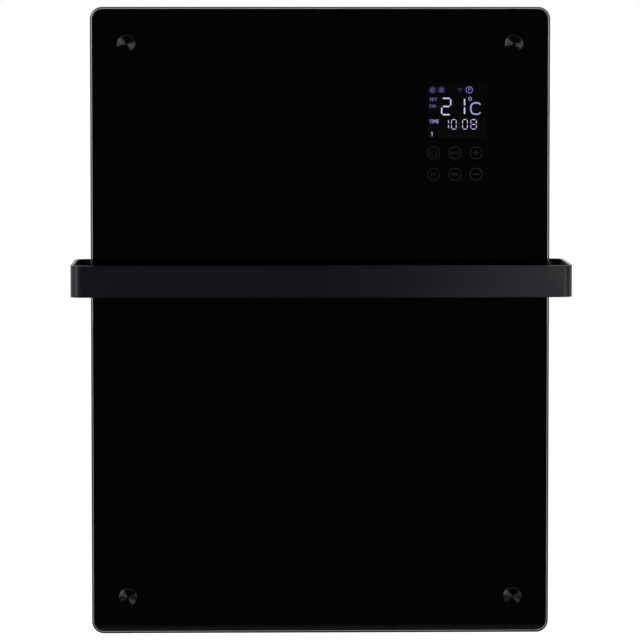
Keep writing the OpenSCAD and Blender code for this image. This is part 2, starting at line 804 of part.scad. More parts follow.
// Sheathed rod in an extruded X of four slotted wings
module heating_element() {
    reach_y = element_d / 2;
    reach_z = element_h / 2;
    wing_l = norm([reach_y, reach_z]);
    wing_a = atan2(reach_y, reach_z);
    lip_w = 2.4;
    lip_h = 2.8;
    slot_pitch = element_w / wing_slots;
    slot_foot = reach_z * 0.32;
    slot_top = reach_z * 0.84;
    color("silver") translate([0, element_y, element_axis_z]) {
        difference() {
            rotate([90, 0, 90]) linear_extrude(element_w, center = true) {
                circle(d = rod_d);
                for (up = [0, 180], side = [-1, 1])
                    rotate(up + side * wing_a) translate([-wing_t / 2, 0]) square([wing_t, wing_l - 1]);
                // Lips at the wings' tips
                for (up = [-1, 1], side = [-1, 1])
                    translate([side * (reach_y - lip_w / 2), up * (reach_z - lip_h / 2)])
                        square([lip_w, lip_h], center = true);
            }
            for (i = [0:wing_slots - 1], up = [-1, 1])
                translate([(i + 0.5) * slot_pitch - element_w / 2, 0, up * (slot_foot + slot_top) / 2])
                    cube([slot_pitch / 2, element_d + 2 * through, slot_top - slot_foot], center = true);
        }
        rotate([0, 90, 0]) cylinder(d = rod_core_d, h = rod_l, center = true);
    }
}

module element_insulators()
    color("white") for (side = [-1, 1])
        translate([side * (insulator_x + insulator_t / 2), element_y, element_axis_z]) rotate([0, 90, 0])
            difference() {
                union() {
                    cylinder(d = insulator_d, h = insulator_t, center = true);
                    translate([0, 0, side * (insulator_t - insulator_rim_t) / 2])
                        cylinder(d = insulator_d + 4, h = insulator_rim_t, center = true);
                }
                cylinder(d = rod_core_d + 2 * fit_gap, h = insulator_t + 2 * through, center = true);
            }

module at_strap_screws()
    for (side = [-1, 1], up = [-1, 1])
        translate([side * strap_screw_x, 0, element_axis_z + up * strap_screw_rise]) children();

module element_brackets()
    color("lightgray") difference() {
        for (side = [-1, 1]) {
            block(side * (strap_web_x + strap_t / 2), element_axis_z, strap_t, element_h,
                  element_y - strap_foot, flange_y);
            block(side * (strap_web_x + strap_t - strap_foot / 2), element_axis_z, strap_foot, element_h,
                  flange_y - strap_t, flange_y);
        }
        for (side = [-1, 1])
            translate([side * (strap_web_x + strap_t / 2), element_y, element_axis_z]) rotate([0, 90, 0])
                cylinder(d = insulator_d + 2 * fit_gap, h = strap_t + 2 * through, center = true);
        at_strap_screws()
            pin_y(strap_screw_d + 2 * fit_gap, 0, 0, flange_y - strap_t - through, flange_y + through);
    }

module bracket_screws()
    color("silver") at_strap_screws()
        screw_y(strap_screw_d, strap_head_d, strap_head_t, 0, 0, flange_y - strap_t, flange_y);

module heat_shield() {
    front_y = inner_front_y + shield_gap;
    w = element_w + 2 * shield_margin_x;
    h = element_h + 2 * shield_margin_z;
    color("gainsboro") {
        block(0, element_axis_z, w, h, front_y, front_y + shield_t);
        // Feet pressed forward to the case
        for (x = [-1, 0, 1], z = [-1, 1])
            block(x * w / 3, element_axis_z + z * (h / 2 - 5), 14, 10, inner_front_y, front_y);
    }
}

module cutout_bracket()
    color("silver") difference() {
        union() {
            block(cutout_x, cutout_z, cutout_strap_w, strap_t, cutout_y - cutout_d / 2 - 2, flange_y);
            block(cutout_x, cutout_z + strap_foot / 2, cutout_strap_w, strap_foot,
                  flange_y - strap_t, flange_y);
        }
        translate([cutout_x, cutout_y, cutout_z])
            cylinder(d = cutout_neck_d + 1, h = 6, center = true);
    }

module thermal_cutout()
    color("#b08040") translate([cutout_x, cutout_y, cutout_z]) {
        translate([0, 0, strap_t / 2]) cylinder(d = cutout_d, h = cutout_h);
        translate([0, 0, -3]) cylinder(d = cutout_neck_d, h = 3 + strap_t / 2);
        for (x = [-cutout_tab_x, cutout_tab_x])
            translate([x - 2, -tab_t / 2, strap_t / 2 + cutout_h]) cube([4, tab_t, cutout_tab_l]);
    }

module temperature_sensor()
    color("black") translate([sensor_x, sensor_y, sensor_foot_z]) {
        cylinder(d = sensor_d, h = sensor_l);
        translate([0, 0, sensor_l]) sphere(d = sensor_d);
    }

module sensor_clip()
    color("silver") difference() {
        block(sensor_x, sensor_foot_z + 10, clip_w, clip_h, sensor_y - sensor_d / 2 - 1.2, flange_y);
        translate([sensor_x, sensor_y, sensor_foot_z]) cylinder(d = sensor_d + 2 * fit_gap, h = sensor_l);
    }

module earth_screw()
    color("gold") {
        ring_y(earth_d * 2.5, earth_d + 2 * fit_gap, earth_x, earth_z, flange_y - 1, flange_y);
        screw_y(earth_d, earth_d * 2, earth_d * 0.65, earth_x, earth_z, flange_y - 1, flange_y - fit_gap / 2);
    }

// Snap-in switch: a lip on the side wall and two cheeks that hold the rocker's pins
module switch_body() {
    x_face = case_w / 2;
    color("#101010") difference() {
        union() {
            translate([x_face, mid_y - switch_body_w / 2 - switch_rim,
                       switch_axis_z - switch_body_l / 2 - switch_rim])
                cube([switch_lip, switch_body_w + 2 * switch_rim, switch_body_l + 2 * switch_rim]);
            translate([x_face - switch_depth, mid_y - switch_body_w / 2, switch_axis_z - switch_body_l / 2])
                cube([switch_depth, switch_body_w, switch_body_l]);
        }
        translate([x_face - switch_room, mid_y - rocker_w / 2 - move_gap, switch_axis_z - rocker_l / 2 - 1.4])
            cube([switch_room + switch_lip + through, rocker_w + 2 * move_gap, rocker_l + 2.8]);
        translate([rocker_axis_x, mid_y, switch_axis_z]) rotate([90, 0, 0])
            cylinder(d = rocker_pin_d + 2 * pin_gap, h = rocker_w + 5, center = true);
    }
}

// Rocker drawn with its upper half pressed in, which is on
module switch_rocker()
    color("#181818") translate([rocker_axis_x, mid_y, switch_axis_z])
        rotate([0, -rocker_swing / 2, 0]) {
            translate([0, rocker_w / 2, 0]) rotate([90, 0, 0]) linear_extrude(rocker_w)
                polygon([[-2.5, -3], [-2.5, 3], [0.5, rocker_l / 2 - 0.5], [3, rocker_l / 2],
                         [1.8, 0], [3, -rocker_l / 2], [0.5, 0.5 - rocker_l / 2]]);
            rotate([90, 0, 0]) cylinder(d = rocker_pin_d, h = rocker_w + 4.4, center = true);
        }

// Lead with round bends at the inner points of its route, which turns only by right angles
module lead(d, bend, route) {
    last = len(route) - 1;
    ways = [for (i = [0:last - 1]) (route[i + 1] - route[i]) / norm(route[i + 1] - route[i])];
    for (i = [0:last - 1]) {
        from = route[i] + (i > 0 ? bend : 0) * ways[i];
        upto = route[i + 1] - (i < last - 1 ? bend : 0) * ways[i];
        translate(from) rotate([0, acos(ways[i].z), atan2(ways[i].y, ways[i].x)])
            cylinder(d = d, h = norm(upto - from));
    }
    for (i = [1:last - 1]) {
        x = -ways[i];
        y = ways[i - 1];
        z = cross(x, y);
        centre = route[i] - bend * (x + y);
        multmatrix([[x.x, y.x, z.x, centre.x], [x.y, y.y, z.y, centre.y],
                    [x.z, y.z, z.z, centre.z], [0, 0, 0, 1]])
            rotate_extrude(angle = 90) translate([bend, 0]) circle(d = d);
    }
}

// A lead's last stretch, from over the terminal block into one of its ways
function into_block(x, i) =
    [[x, lead_y, terminal_z + i * terminal_pitch],
     [terminal_x + terminal_w / 2 - lead_seat, lead_y, terminal_z + i * terminal_pitch]];

// Leads from the switch, the sensor, the cut-out and both ends of the element
module inner_leads() {
    rod_end = rod_l / 2;
    beside = 4.5;
    past_board_x = power_x + board_w / 2 + 6;
    color("#b8b0a0") {
        for (i = [-1, 1]) {
            x = tab_x - 7.35 - i * 1.85;
            y = mid_y + i * 1.6;
            z = switch_axis_z - i * tab_pitch;
            lead(lead_d, lead_bend, concat(
                [[tab_x, y, z], [x, y, z], [x, lead_back_y, z],
                 [x, lead_back_y, terminal_z + (i - 1) / 2 * terminal_pitch]],
                into_block(x, (i - 1) / 2)));
        }
        lead(lead_d, lead_bend, concat(
            [[sensor_x, sensor_y, sensor_foot_z + sensor_l + sensor_d / 2],
             [sensor_x, sensor_y, terminal_z + terminal_pitch]],
            into_block(sensor_x, 1)));
        lead(lead_d, lead_bend, concat(
            [[cutout_x + cutout_tab_x, cutout_y, cutout_top_z],
             [cutout_x + cutout_tab_x, cutout_y, power_z - board_h / 2 - 14],
             [past_board_x, cutout_y, power_z - board_h / 2 - 14]],
            into_block(past_board_x, -2)));
        lead(lead_d, lead_bend, concat(
            [[rod_end, element_y, element_axis_z], [rod_end + beside, element_y, element_axis_z],
             [rod_end + beside, element_y, terminal_z + 2 * terminal_pitch]],
            into_block(rod_end + beside, 2)));
        lead(lead_d, lead_bend, [
            [cutout_x - cutout_tab_x, cutout_y, cutout_top_z],
            [cutout_x - cutout_tab_x, cutout_y, cutout_top_z + 13],
            [-rod_end - 2 * beside, cutout_y, cutout_top_z + 13],
            [-rod_end - 2 * beside, element_y, cutout_top_z + 13],
            [-rod_end - 2 * beside, element_y, element_axis_z],
            [-rod_end, element_y, element_axis_z]]);
    }
}

// Round cable from the back of the display's board to the front of the power board
module display_cable() {
    from_x = display_x - housing_w / 2 + 10;
    from_z = key_z - key_pitch / 2 + 2;
    to_x = terminal_x - terminal_w / 2 - 9;
    to_z = power_z + board_h / 2 - 7;
    y = power_front_y - terminal_t - 3.2;
    color("#d8d8d0") lead(cable_d, cable_d, [
        [from_x, board_y + pcb_t, from_z], [from_x, y, from_z], [from_x, y, to_z],
        [to_x, y, to_z], [to_x, power_front_y, to_z]]);
}

module switch_terminals()
    color("silver") for (i = [-1, 0, 1])
        translate([tab_x, mid_y - tab_w / 2, switch_axis_z + i * tab_pitch - tab_t / 2])
            cube([tab_l, tab_w, tab_t]);

wall_bracket();
bracket_straps();
rear_panel();
front_case();
case_screws();
outlet_grille();
inlet_grille();
wall_buffers();
cable_gland();
gland_nut();
glass_panel();
glass_enamel();
glass_studs();
stud_nuts();
standoff_rings();
glass_bushes();
cap_washers();
glass_caps();
towel_rail();
rail_screws();
rail_nuts();
display_housing();
display_module();
display_board();
touch_springs();
display_screws();
wireless_module();
power_board();
board_pillars();
board_screws();
relay();
transformer();
capacitor();
fuse();
terminal_block();
heating_element();
element_insulators();
element_brackets();
bracket_screws();
heat_shield();
thermal_cutout();
cutout_bracket();
temperature_sensor();
sensor_clip();
earth_screw();
inner_leads();
display_cable();
switch_body();
switch_rocker();
switch_terminals();
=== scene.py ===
import bpy
import math
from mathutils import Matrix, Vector


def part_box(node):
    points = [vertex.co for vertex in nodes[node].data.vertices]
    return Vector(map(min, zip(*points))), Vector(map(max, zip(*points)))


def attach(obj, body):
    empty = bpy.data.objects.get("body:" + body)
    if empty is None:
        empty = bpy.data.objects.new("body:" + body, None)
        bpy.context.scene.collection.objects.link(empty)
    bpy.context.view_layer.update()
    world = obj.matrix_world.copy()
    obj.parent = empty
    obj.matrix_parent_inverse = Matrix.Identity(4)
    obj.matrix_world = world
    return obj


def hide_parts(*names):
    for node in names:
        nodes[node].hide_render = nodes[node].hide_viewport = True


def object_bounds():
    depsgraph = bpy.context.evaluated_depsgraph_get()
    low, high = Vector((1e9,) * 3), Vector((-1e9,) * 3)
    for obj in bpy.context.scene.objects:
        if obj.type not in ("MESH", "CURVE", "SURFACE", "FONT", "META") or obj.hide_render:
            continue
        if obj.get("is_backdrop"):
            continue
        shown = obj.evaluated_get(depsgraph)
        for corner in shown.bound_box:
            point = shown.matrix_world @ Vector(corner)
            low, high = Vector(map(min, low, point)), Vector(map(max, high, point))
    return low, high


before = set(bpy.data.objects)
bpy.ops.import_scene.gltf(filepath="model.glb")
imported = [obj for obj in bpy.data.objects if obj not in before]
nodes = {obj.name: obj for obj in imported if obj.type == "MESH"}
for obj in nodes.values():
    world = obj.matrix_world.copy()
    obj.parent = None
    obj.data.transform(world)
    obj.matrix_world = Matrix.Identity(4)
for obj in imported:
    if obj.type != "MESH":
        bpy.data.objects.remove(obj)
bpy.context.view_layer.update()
MM = 0.001


# Wall bracket: two pressed steel uprights with folded hooks, and two straps spot-welded across them.
# It is screwed flat on the wall, and its four hooks carry the whole heater.
def linear(shade):
    """An sRGB hex colour as the linear values that a shader takes."""
    parts = [int(shade[i:i + 2], 16) / 255 for i in (1, 3, 5)]
    return [*((c / 12.92 if c <= 0.04045 else ((c + 0.055) / 1.055) ** 2.4) for c in parts), 1.0]


def add(material, kind, settings=None, links=None):
    """Adds a node, gives its sockets values, and feeds its inputs from other nodes' outputs."""
    node = material.node_tree.nodes.new(kind)
    for name, value in (settings or {}).items():
        if name in node.inputs:
            node.inputs[name].default_value = value
        else:
            setattr(node, name, value)
    for name, source in (links or {}).items():
        material.node_tree.links.new(source, node.inputs[name])
    return node


def finish(name, shade, dark_shade, rough, grain_mm, depth_mm, spread=0.06, patch_mm=25,
           stretch=(1, 1, 1), **shader):
    """A surface of two close shades in soft patches, with a grain that breaks its gloss."""
    material = bpy.data.materials.new(name)
    material.use_nodes = True
    skin = material.node_tree.nodes["Principled BSDF"]
    for socket, value in shader.items():
        skin.inputs[socket.replace("_", " ")].default_value = value
    place = add(material, "ShaderNodeTexCoord").outputs["Object"]
    drawn = add(material, "ShaderNodeMapping", {"Scale": stretch}, {"Vector": place}).outputs["Vector"]
    patches = add(material, "ShaderNodeTexNoise", {"Scale": 1 / (patch_mm * MM), "Detail": 4.0},
                  {"Vector": drawn})
    grain = add(material, "ShaderNodeTexNoise", {"Scale": 1 / (grain_mm * MM), "Detail": 3.0},
                {"Vector": drawn})
    tone = add(material, "ShaderNodeValToRGB", {}, {"Fac": patches.outputs["Fac"]})
    tone.name = "tone"
    tone.color_ramp.elements[0].color = linear(dark_shade)
    tone.color_ramp.elements[1].color = linear(shade)
    tone.color_ramp.elements[0].position = 0.3
    tone.color_ramp.elements[1].position = 0.7
    gloss = add(material, "ShaderNodeMapRange",
                {"From Min": 0.3, "From Max": 0.7, "To Min": rough - spread, "To Max": rough + spread},
                {"Value": grain.outputs["Fac"]})
    bump = add(material, "ShaderNodeBump", {"Strength": 1.0, "Distance": depth_mm * MM},
               {"Height": grain.outputs["Fac"]})
    wire = material.node_tree.links.new
    wire(tone.outputs["Color"], skin.inputs["Base Color"])
    wire(gloss.outputs["Result"], skin.inputs["Roughness"])
    wire(bump.outputs["Normal"], skin.inputs["Normal"])
    return material


def take(piece, mode="EDGE"):
    """Opens one piece in edit mode with nothing selected."""
    if bpy.context.mode != "OBJECT":
        bpy.ops.object.mode_set(mode="OBJECT")
    bpy.ops.object.select_all(action="DESELECT")
    piece.select_set(True)
    bpy.context.view_layer.objects.active = piece
    bpy.ops.object.mode_set(mode="EDIT")
    bpy.ops.mesh.select_mode(type=mode)
    bpy.ops.mesh.select_all(action="DESELECT")


def settle(piece, smooth_angle=30):
    """Leaves edit mode, puts the piece's place in its mesh and smooths its rounds."""
    if bpy.context.mode != "OBJECT":
        bpy.ops.object.mode_set(mode="OBJECT")
    bpy.ops.object.select_all(action="DESELECT")
    piece.select_set(True)
    bpy.context.view_layer.objects.active = piece
    bpy.ops.object.transform_apply(location=True, rotation=True, scale=True)
    bpy.ops.object.shade_smooth_by_angle(angle=math.radians(smooth_angle))
    return piece


def eased_copy(name, piece_name, ease_mm, material, body):
    """A merged copy of a CAD node with its sharp edges eased, as real edges are, in the node's stead."""
    piece = nodes[name].copy()
    piece.data = nodes[name].data.copy()
    piece.name = piece_name
    for key in list(piece.keys()):
        del piece[key]
    bpy.context.scene.collection.objects.link(piece)
    piece.parent = None
    take(piece, "VERT")
    bpy.ops.mesh.select_all(action="SELECT")
    bpy.ops.mesh.remove_doubles(threshold=0.002 * MM)
    bpy.ops.mesh.dissolve_limited(angle_limit=math.radians(1))
    bpy.ops.object.mode_set(mode="OBJECT")
    ease = piece.modifiers.new("eased_edges", "BEVEL")
    ease.width = ease_mm * MM
    ease.segments = 2
    ease.limit_method = "ANGLE"
    ease.angle_limit = math.radians(40)
    bpy.ops.object.modifier_apply(modifier="eased_edges")
    settle(piece, 35)
    flats = piece.modifiers.new("flat_faces_stay_flat", "WEIGHTED_NORMAL")
    flats.keep_sharp = True
    flats.weight = 80
    bpy.ops.object.modifier_apply(modifier="flat_faces_stay_flat")
    piece.data.materials.clear()
    piece.data.materials.append(material)
    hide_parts(name)
    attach(piece, body)
    return piece


# Satin powder coat: sprayed and baked, with a fine orange peel of about a millimetre.
bracket_coat = finish("powder_coated_bracket", "#3a3a3c", "#323234", 0.42, 0.8, 0.02)
eased_copy("wall_bracket", "bracket_uprights", 0.3, bracket_coat, "bracket")
eased_copy("bracket_straps", "bracket_cross_straps", 0.3, bracket_coat, "bracket")

# Case and back: 1.2 mm steel sheet, folded into a box and closed by a flat back.
# The coat on both is a fine-texture black powder, whose grain gives a soft, broken gloss.
case_coat = finish("fine_texture_powder_coat", "#222224", "#1b1b1d", 0.5, 0.7, 0.05)
eased_copy("front_case", "case_shell", 0.5, case_coat, "heater")
eased_copy("rear_panel", "back_sheet", 0.25, case_coat, "heater")

# Screws and nuts: cold-headed steel, zinc plated, holding the case, glass, rail and boards.
# The plating is bright, faintly blue, and a little uneven from the tumbling.
def dress(material, *names):
    """Gives CAD nodes their finish."""
    for name in names:
        nodes[name].data.materials.clear()
        nodes[name].data.materials.append(material)


zinc = finish("bright_zinc_plate", "#c9ced3", "#aeb2b4", 0.3, 0.6, 0.002, 0.1, 4, Metallic=1.0)
eased_copy("case_screws", "case_pan_screws", 0.12, zinc, "heater")
eased_copy("rail_screws", "rail_pan_screws", 0.15, zinc, "heater")
dress(zinc, "rail_nuts", "glass_studs", "stud_nuts", "display_screws", "board_screws", "bracket_screws")

# Grilles: a bar grille in the top wall and a punched plate in the bottom wall, both steel.
# Their satin coat is smoother than the case's, since dust is wiped off it.
grille_coat = finish("satin_coated_grille", "#2a2a2c", "#242426", 0.38, 0.9, 0.015)
eased_copy("outlet_grille", "outlet_bars", 0.2, grille_coat, "heater")
eased_copy("inlet_grille", "inlet_plate", 0.2, grille_coat, "heater")

# Buffers, washers and standoff rings: moulded rubber and silicone, pushed in or threaded on studs.
# The rubber is matt with a faint bloom, and the silicone is grey and a little silky.
rubber = finish("moulded_black_rubber", "#1c1c1c", "#151515", 0.75, 1.2, 0.03)
silicone = finish("grey_silicone", "#5a5a5c", "#505052", 0.6, 1.5, 0.02)
eased_copy("wall_buffers", "pushed_in_buffers", 0.6, rubber, "heater")
dress(rubber, "cap_washers")
dress(silicone, "standoff_rings")

# Cable gland: a black nylon entry in the case's foot, held by a six-sided nut inside.
# Moulded nylon is dull, with a faint spark-eroded grain of half a millimetre.
nylon = finish("moulded_black_nylon", "#1e1e20", "#18181a", 0.48, 0.5, 0.012)
eased_copy("cable_gland", "gland_entry", 0.4, nylon, "heater")
eased_copy("gland_nut", "gland_lock_nut", 0.3, nylon, "heater")

# Glass: 5 mm toughened float glass with round corners, drilled at four places for its studs.
# Its faces are fire-polished and its arrises ground, so they catch the light as a thin line.
def pick(piece, kind, test):
    """Opens one piece in edit mode with only the edges or faces selected whose corners pass a test."""
    take(piece, kind)
    bpy.ops.object.mode_set(mode="OBJECT")
    for part in (piece.data.edges if kind == "EDGE" else piece.data.polygons):
        part.select = test([piece.data.vertices[i].co for i in part.vertices])
    bpy.ops.object.mode_set(mode="EDIT")


low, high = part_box("glass_panel")
corner_r, arris = 12 * MM, 1.5 * MM
cap_x, cap_z, stud_hole_r = 191.5 * MM, 275.0 * MM, 5.0 * MM
bpy.ops.object.select_all(action="DESELECT")
bpy.ops.mesh.primitive_cube_add(size=1, location=(high + low) / 2)
glass = bpy.context.object
glass.name = "glass_sheet"
glass.scale = high - low
bpy.ops.object.transform_apply(location=True, rotation=True, scale=True)
pick(glass, "EDGE", lambda ends: abs(ends[0].y - ends[1].y) > 1 * MM)
bpy.ops.mesh.bevel(offset=corner_r, segments=18, profile=0.5)
pick(glass, "EDGE", lambda ends: abs(ends[0].y - ends[1].y) < 1 * MM)
bpy.ops.mesh.bevel(offset=arris, segments=2, profile=0.5)
bpy.ops.object.mode_set(mode="OBJECT")
for side, up in ((-1, 1), (1, 1), (-1, -1), (1, -1)):
    bpy.ops.object.select_all(action="DESELECT")
    bpy.ops.mesh.primitive_cylinder_add(vertices=48, radius=stud_hole_r, depth=20 * MM,
                                        location=(side * cap_x, (low.y + high.y) / 2, up * cap_z),
                                        rotation=(math.radians(90), 0, 0))
    drill = bpy.context.object
    bore = glass.modifiers.new("stud_hole", "BOOLEAN")
    bore.operation = "DIFFERENCE"
    bore.object = drill
    bpy.context.view_layer.objects.active = glass
    bpy.ops.object.modifier_apply(modifier="stud_hole")
    bpy.data.objects.remove(drill)
settle(glass, 12)
# Float glass: clear, faintly green, and optically flat.
glass_clear = bpy.data.materials.new("toughened_float_glass")
glass_clear.use_nodes = True
pane = glass_clear.node_tree.nodes["Principled BSDF"]
pane.inputs["Base Color"].default_value = linear("#f4faf8")
pane.inputs["Transmission Weight"].default_value = 1.0
pane.inputs["IOR"].default_value = 1.52
pane.inputs["Roughness"].default_value = 0.0
glass.data.materials.append(glass_clear)
# The arrises, the edge and the four holes are ground with a fine wheel, so there the glass is dull.
ground = finish("ground_glass_edge", "#1b1d1e", "#161819", 0.3, 0.6, 0.002, 0.04)
glass.data.materials.append(ground)
for face in glass.data.polygons:
    face.material_index = 0 if abs(face.normal.y) > 0.99 else 1
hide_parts("glass_panel")
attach(glass, "heater")

# Enamel: a black ceramic layer, screen printed and fired on the back of the glass.
# It has no gloss of its own, since the glass lies over it, and it stops at a clear display window.
enamel = finish("fired_black_enamel", "#040404", "#030303", 0.6, 2.0, 0.001, 0.02, Specular_IOR_Level=0.0)
# Its bare back, which faces the case, is a dull dark grey.
normal = add(enamel, "ShaderNodeNewGeometry").outputs["True Normal"]
facing = add(enamel, "ShaderNodeSeparateXYZ", {}, {"Vector": normal})
front_tone = enamel.node_tree.nodes["tone"]
patch = front_tone.inputs["Fac"].links[0].from_socket
back_tone = add(enamel, "ShaderNodeValToRGB", {}, {"Fac": patch})
back_tone.color_ramp.elements[0].color = linear("#19191a")
back_tone.color_ramp.elements[1].color = linear("#1e1e1f")
two_sides = add(enamel, "ShaderNodeMix", {"data_type": "RGBA"},
                {0: facing.outputs["Y"], 6: front_tone.outputs["Color"], 7: back_tone.outputs["Color"]})
enamel.node_tree.links.new(two_sides.outputs[2],
                           enamel.node_tree.nodes["Principled BSDF"].inputs["Base Color"])
dress(enamel, "glass_enamel")

# Caps: solid turned metal, screwed on the studs in front of the glass.
# The faces are faced on a lathe, so their rings of fine grooves fan the light into two wedges.
bushing = finish("natural_nylon", "#d8d4c6", "#cbc6b6", 0.5, 1.0, 0.01)
dress(bushing, "glass_bushes")
low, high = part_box("glass_caps")
cap_r, cap_t, cap_rim, ring_width = 9.0 * MM, 4.6 * MM, 0.8 * MM, 2.3 * MM
uv_per_metre = 40
bpy.ops.object.select_all(action="DESELECT")
bpy.ops.mesh.primitive_cylinder_add(vertices=96, radius=cap_r, depth=cap_t,
                                    location=(-cap_x, low.y + cap_t / 2, cap_z),
                                    rotation=(math.radians(90), 0, 0))
cap = bpy.context.object
cap.name = "turned_cap_top_left"
bpy.ops.object.transform_apply(location=True, rotation=True, scale=True)
front_y = low.y + 0.01 * MM
pick(cap, "EDGE", lambda ends: max(end.y for end in ends) < front_y)
bpy.ops.mesh.bevel(offset=cap_rim, segments=3, profile=0.5)
pick(cap, "FACE", lambda corners: max(corner.y for corner in corners) < front_y)
for inner_ring in range(3):
    bpy.ops.mesh.inset(thickness=ring_width)
settle(cap, 40)
# The map runs round the cap across and outwards along it, as the lathe's tool did.
polar = cap.data.uv_layers.new(name="lathe")
for face in cap.data.polygons:
    middle = math.atan2(face.center.z - cap_z, face.center.x + cap_x)
    for loop in face.loop_indices:
        spot = cap.data.vertices[cap.data.loops[loop].vertex_index].co
        turn = math.atan2(spot.z - cap_z, spot.x + cap_x) - middle
        turn = (turn + math.pi) % (2 * math.pi) - math.pi
        outwards = math.hypot(spot.x + cap_x, spot.z - cap_z) * uv_per_metre
        polar.data[loop].uv = ((middle + turn) / (2 * math.pi), outwards)
# Dark plate over a turned face: the roughness is wide across the grooves and narrow along them.
cap_metal = finish("dark_plated_turning", "#525257", "#4c4c50", 0.4, 0.4, 0.001, 0.02, 6,
                   Metallic=1.0, Anisotropic=1.0, Anisotropic_Rotation=0.25)
grooves = add(cap_metal, "ShaderNodeTangent", {"direction_type": "UV_MAP", "uv_map": "lathe"})
cap_metal.node_tree.links.new(grooves.outputs["Tangent"],
                              cap_metal.node_tree.nodes["Principled BSDF"].inputs["Tangent"])
cap.data.materials.clear()
cap.data.materials.append(cap_metal)
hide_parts("glass_caps")
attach(cap, "heater")
for name, across, up in (("top_right", 2 * cap_x, 0), ("foot_left", 0, -2 * cap_z),
                         ("foot_right", 2 * cap_x, -2 * cap_z)):
    other = cap.copy()
    other.data = cap.data.copy()
    other.name = "turned_cap_" + name
    for vertex in other.data.vertices:
        vertex.co.x += across
        vertex.co.z += up
    bpy.context.scene.collection.objects.link(other)
    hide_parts("glass_caps")
    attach(other, "heater")

# Towel rail: a flat steel strap, bent round the panel and in behind it, bolted to the case.
# The satin black coat is smooth and reads slightly violet beside the glass.
rail_coat = finish("satin_black_rail_coat", "#0f0f16", "#0d0d14", 0.33, 0.5, 0.004, 0.02,
                   Specular_IOR_Level=0.3)
eased_copy("towel_rail", "rail_strap", 0.4, rail_coat, "heater")

# Display: a lit module in a black housing, behind the clear window of the enamel.
# The filter over it is near black, so only what is lit shows.
housing_plastic = finish("moulded_black_abs", "#151516", "#101011", 0.5, 0.6, 0.01)
eased_copy("display_housing", "housing_tray", 0.2, housing_plastic, "heater")
filter_film = finish("dark_display_filter", "#161618", "#141416", 0.3, 3.0, 0.0005, 0.02,
                     Specular_IOR_Level=0.1)
dress(filter_film, "display_module")
window_x, window_z = 135.4 * MM, 209.2 * MM
lit_back, lit_front = -57.65 * MM, -57.75 * MM
lit_middle = (lit_back + lit_front) / 2


def lit(name, shade, strength=1.1):
    """A glowing segment: emission in its own colour over a dark body."""
    material = bpy.data.materials.new(name)
    material.use_nodes = True
    glow = material.node_tree.nodes["Principled BSDF"]
    glow.inputs["Base Color"].default_value = linear("#101014")
    glow.inputs["Roughness"].default_value = 0.5
    glow.inputs["Emission Strength"].default_value = strength
    # The light guide behind the segments is a little uneven, over a few millimetres.
    patch_mm, dimmer_share = 3, 0.8
    place = add(material, "ShaderNodeTexCoord").outputs["Object"]
    cloud = add(material, "ShaderNodeTexNoise", {"Scale": 1 / (patch_mm * MM), "Detail": 1.0},
                {"Vector": place})
    tone = add(material, "ShaderNodeValToRGB", {}, {"Fac": cloud.outputs["Fac"]})
    full = linear(shade)
    tone.color_ramp.elements[0].color = [c * dimmer_share for c in full[:3]] + [1.0]
    tone.color_ramp.elements[1].color = full
    material.node_tree.links.new(tone.outputs["Color"], glow.inputs["Emission Color"])
    return material


def place_on_glass(piece, material):
    """Gives a thin mark its material and slot, and lets it ride on the heater."""
    settle(piece)
    piece.data.materials.clear()
    piece.data.materials.append(material)
    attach(piece, "heater")
    return piece


def flatten(piece, share):
    """Presses a mark to a share of its depth, about the middle of the lit layer."""
    for vertex in piece.data.vertices:
        vertex.co.y = lit_middle + (vertex.co.y - lit_middle) * share


def bar(u, v, length, stroke, upright):
    """A stroke with round ends, centred at (u, v) mm from the middle of the window."""
    end_r = stroke * 0.46
    bpy.ops.object.select_all(action="DESELECT")
    across, up = (stroke, length) if upright else (length, stroke)
    bpy.ops.mesh.primitive_cube_add(size=1, location=(window_x + u * MM, lit_middle, window_z + v * MM))
    piece = bpy.context.object
    piece.scale = (across * MM, lit_back - lit_front, up * MM)
    bpy.ops.object.transform_apply(location=True, rotation=True, scale=True)
    pick(piece, "EDGE", lambda ends: abs(ends[0].y - ends[1].y) > 0.01 * MM)
    bpy.ops.mesh.bevel(offset=end_r * MM, segments=5, profile=0.5)
    bpy.ops.object.mode_set(mode="OBJECT")
    return piece


def ring(u, v, outer_d, stroke):
    """A thin ring, centred at (u, v) mm from the middle of the window."""
    bpy.ops.object.select_all(action="DESELECT")
    radius = (outer_d - stroke) / 2 * MM
    bpy.ops.mesh.primitive_torus_add(major_radius=radius, minor_radius=stroke / 2 * MM, major_segments=40,
                                     minor_segments=8, rotation=(math.radians(90), 0, 0),
                                     location=(window_x + u * MM, lit_middle, window_z + v * MM))
    piece = bpy.context.object
    bpy.ops.object.transform_apply(location=True, rotation=True, scale=True)
    flatten(piece, (lit_back - lit_front) / (stroke * MM))
    return piece


def word(text, u, v, height, stretch=1.0, weight=-0.015):
    """A word with the foot of its letters at v, starting at u, in mm from the window's middle.

    The weight thickens or thins its strokes on each side by that share of the height."""
    letter_share = 0.72
    bpy.ops.object.select_all(action="DESELECT")
    bpy.ops.object.text_add(location=(window_x + u * MM, lit_back, window_z + v * MM),
                            rotation=(math.radians(90), 0, 0))
    piece = bpy.context.object
    piece.data.body = text
    piece.data.size = height / letter_share * MM
    piece.data.extrude = (lit_back - lit_front) / 2
    piece.data.offset = weight * height * MM
    piece.data.resolution_u = 3
    piece.scale = (stretch, 1, 1)
    bpy.ops.object.convert(target="MESH")
    piece = bpy.context.object
    piece.location.y = lit_middle
    return piece


def join(name, pieces):
    """Makes one piece of the strokes that one sign is drawn with."""
    bpy.ops.object.select_all(action="DESELECT")
    for piece in pieces:
        piece.select_set(True)
    bpy.context.view_layer.objects.active = pieces[0]
    bpy.ops.object.join()
    pieces[0].name = name
    return pieces[0]


